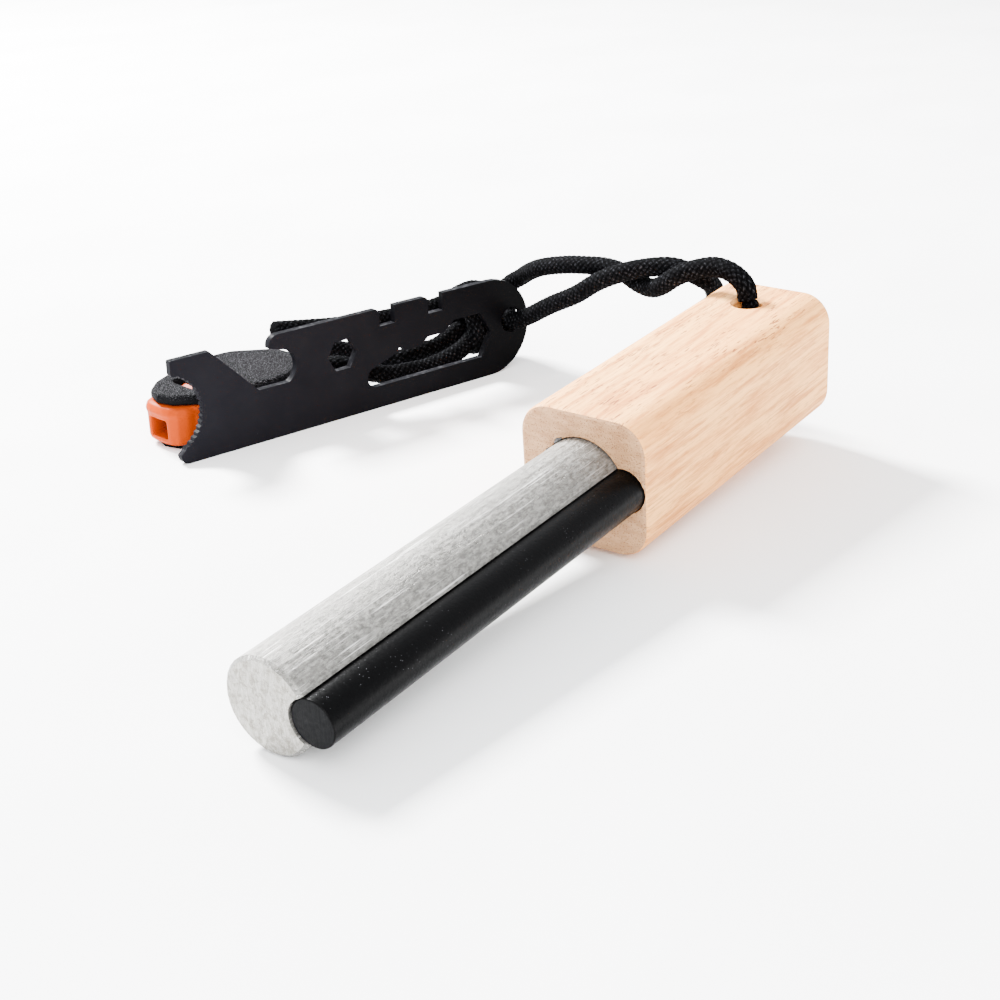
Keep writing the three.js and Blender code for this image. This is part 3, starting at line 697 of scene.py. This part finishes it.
def floor_paper():
    dark, light = (0.90, 0.90, 0.895), (0.96, 0.96, 0.958)

    n = Nodes("floor_paper")
    cloud = n.noise(n.place(), (14, 22, 14), 2, 0.4)
    return n.finish(base_color=n.mix(n.ramp(cloud, 0.35, 0.65), dark, light), roughness=0.8)


FINISHES = {
    "beech": beech(),
    "magnesium": magnesium(),
    "ferro": ferro(),
    "epoxy": glue("cured_glue", (0.50, 0.44, 0.32), (0.62, 0.57, 0.44)),
    "steel": steel(),
    "cord": braid(),
    "orange": orange(),
    "shell": shell(),
    "glue_crumb": glue("glue_crumb", (0.020, 0.020, 0.021), (0.075, 0.073, 0.07)),
}

# Bevel widths of the edges, and rounds of smoothing for what was moulded
SOFT_EDGES = {"striker_plate": 0.00012, "magnesium_bar": 0.0001}
EDGE_SEGMENTS = 2
EDGE_ANGLE = math.radians(30)
MOULDED = {"whistle_top_shell": 22, "whistle_core": 14}
MOULD_VOXEL = 0.0002
MOULD_FACTOR = 0.5
SHARP_FROM = 32
FERRO_SHARP_FROM = 40


def dress(made, finish):
    made.data.materials.clear()
    made.data.materials.append(FINISHES[finish])


def round_edges(made, width):
    bevel = made.modifiers.new("soft edges", "BEVEL")
    bevel.width = width
    bevel.segments = EDGE_SEGMENTS
    bevel.limit_method = "ANGLE"
    bevel.angle_limit = EDGE_ANGLE
    bevel.use_clamp_overlap = True


def mould(made, rounds):
    """Turns the facets of a moulded piece into soft curves."""
    remesh = made.modifiers.new("fine mesh", "REMESH")
    remesh.mode = "VOXEL"
    remesh.voxel_size = MOULD_VOXEL
    remesh.use_smooth_shade = True
    smooth = made.modifiers.new("moulded edges", "SMOOTH")
    smooth.factor = MOULD_FACTOR
    smooth.iterations = rounds


def smooth_by_angle(made, degrees):
    mesh = made.data
    mesh.polygons.foreach_set("use_smooth", [True] * len(mesh.polygons))
    mesh.set_sharp_from_angle(angle=math.radians(degrees))


for subpart in frame["record"]["subparts"]:
    name = subpart["node"]
    node = frame["nodes"][name]
    dress(node, subpart["material_slot"])
    smooth_by_angle(node, SHARP_FROM)
    if name in SOFT_EDGES:
        round_edges(node, SOFT_EDGES[name])
    if name in MOULDED:
        mould(node, MOULDED[name])

for cord_piece in cords():
    dress(cord_piece, "cord")


def add_piece(made, body, finish):
    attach(made, body)
    dress(made, finish)


def ring_faces(rings, sides, flip=False):
    """Four-cornered faces between each ring of vertices and the next."""
    faces = []
    for lower in range(0, (rings - 1) * sides, sides):
        upper = lower + sides
        for i in range(sides):
            j = (i + 1) % sides
            a, b = (j, i) if flip else (i, j)
            faces.append((lower + a, lower + b, upper + b, upper + a))
    return faces


FERRO_SIDES = 96
FERRO_CHAMFER = 0.00025
FERRO_CHAMFER_STEPS = 5
FERRO_RINGS_ALONG = (0.25, 0.5, 0.75)


def turned_ferro():
    """The rod turned anew with fine facets, in the place of the CAD one."""
    node = frame["nodes"]["ferro_rod"]
    places = np.array([node.matrix_world @ v.co for v in node.data.vertices])
    axis = np.array(HANDLE_AXIS)
    along = places @ axis
    start, end = float(along.min()), float(along.max())
    centre = (places - along[:, None] * axis).mean(axis=0)
    from_axis = places - along[:, None] * axis - centre
    radius = float(np.linalg.norm(from_axis, axis=1).max())
    side = np.array((0.0, 1.0, 0.0))
    up = np.cross(axis, side)
    inner = radius - FERRO_CHAMFER
    profile = [(start, 0.0), (start, inner), (start + FERRO_CHAMFER, radius)]
    profile += [(start + share * (end - start), radius) for share in FERRO_RINGS_ALONG]
    for i in range(FERRO_CHAMFER_STEPS + 1):
        angle = math.pi / 2 * i / FERRO_CHAMFER_STEPS
        x = end - FERRO_CHAMFER * (1 - math.sin(angle))
        profile.append((x, radius - FERRO_CHAMFER * (1 - math.cos(angle))))
    profile.append((end, 0.0))
    verts = []
    for x, r in profile:
        for i in range(FERRO_SIDES):
            a = 2 * math.pi * i / FERRO_SIDES
            place = centre + axis * x + side * (r * math.cos(a)) + up * (r * math.sin(a))
            verts.append(tuple(place))
    made = mesh_object("ferro_turned", verts, ring_faces(len(profile), FERRO_SIDES, flip=True))
    smooth_by_angle(made, FERRO_SHARP_FROM)
    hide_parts("ferro_rod")
    add_piece(made, "handle", "ferro")


turned_ferro()

# The lip's section along the whistle, and half its width, in the whistle frame
LIP_SECTION = [(0.00685, 0.0026), (0.00955, 0.0026), (0.00955, 0.0107), (0.00685, 0.0095)]
LIP_HALF_WIDTH = 0.0034
LIP_EDGE = 0.0002


def window_ramp():
    """The sloping lip inside the whistle's window."""
    ends = (-LIP_HALF_WIDTH, LIP_HALF_WIDTH)
    verts = [tuple(WHISTLE @ Vector((x, y, z))) for y in ends for x, z in LIP_SECTION]
    count = len(LIP_SECTION)
    faces = [tuple(range(count)), tuple(range(2 * count - 1, count - 1, -1))]
    for i in range(count):
        j = (i + 1) % count
        faces.append((i, count + i, count + j, j))
    made = mesh_object("window_ramp", verts, faces, smooth=False)
    round_edges(made, LIP_EDGE)
    add_piece(made, "whistle", "orange")


window_ramp()

SPECK_FROM_BAR_AXIS = 0.0083
SPECK_RINGS = 6
SPECK_SIDES = 14
# A crumb's top is this share of its width.
SPECK_TOP = 0.05
# Waves round a crumb: their height as a share, their number, their twist by ring, their start
SPECK_WAVES = ((0.22, 3, 1, 0), (0.13, 5, 2, 1))


def glue_speck(name, angle, long, wide, thick):
    """A crumb of cured glue on the handle's face, at the edge of the bar's bore."""
    axis = Vector(HANDLE_AXIS)
    side = Vector((0, 1, 0))
    out = axis.cross(side) * math.cos(angle) - side * math.sin(angle)
    along = axis.cross(out)
    verts = []
    for k in range(SPECK_RINGS + 1):
        lift = thick * math.sin(math.pi / 2 * k / SPECK_RINGS)
        spread = max(math.cos(math.pi / 2 * k / SPECK_RINGS), SPECK_TOP)
        for i in range(SPECK_SIDES):
            a = 2 * math.pi * i / SPECK_SIDES
            waves = (
                share * math.sin(count * a + twist * k + start)
                for share, count, twist, start in SPECK_WAVES
            )
            rough = sum(waves, 1)
            outward = SPECK_FROM_BAR_AXIS + wide * spread * rough * math.cos(a)
            sideways = long * spread * rough * math.sin(a)
            place = BAR_IN_HANDLE_FACE + out * outward + along * sideways + axis * lift
            verts.append(tuple(place))
    faces = ring_faces(SPECK_RINGS + 1, SPECK_SIDES)
    faces.append(tuple(range(SPECK_SIDES))[::-1])
    faces.append(tuple(SPECK_RINGS * SPECK_SIDES + i for i in range(SPECK_SIDES)))
    made = mesh_object(name, verts, faces)
    add_piece(made, "handle", "glue_crumb")


glue_speck("glue_speck_a", angle=0.62, long=0.0009, wide=0.0004, thick=0.0004)
glue_speck("glue_speck_b", angle=1.02, long=0.0006, wide=0.0003, thick=0.0003)

# Floor and light
PAPER_HALF_SIDE = 3.0
WORLD_COLOUR = (0.95, 0.97, 1.0, 1)
WORLD_STRENGTH = 2.7


def lay_floor():
    corners = [(-1, -1), (1, -1), (1, 1), (-1, 1)]
    verts = [(x * PAPER_HALF_SIDE, y * PAPER_HALF_SIDE, 0) for x, y in corners]
    made = mesh_object("floor", verts, [(0, 1, 2, 3)], smooth=False)
    made.data.materials.append(floor_paper())


def area_light(name, place, size, power):
    """A square light that points at the row frame's origin."""
    data = bpy.data.lights.new(name, "AREA")
    data.shape = "SQUARE"
    data.size = size
    data.energy = power
    made = bpy.data.objects.new(name, data)
    bpy.context.scene.collection.objects.link(made)
    made.location = place
    made.rotation_mode = "QUATERNION"
    made.rotation_quaternion = (-Vector(place)).to_track_quat("-Z", "Y")


def studio():
    world = bpy.data.worlds.new("studio")
    bpy.context.scene.world = world
    world.use_nodes = True
    background = world.node_tree.nodes["Background"]
    background.inputs["Color"].default_value = WORLD_COLOUR
    background.inputs["Strength"].default_value = WORLD_STRENGTH


lay_floor()
area_light("window_left", (-0.16, -0.8, 0.7), size=0.27, power=118)
area_light("window_front", (0.55, 0.5, 0.7), size=0.7, power=17)
studio()
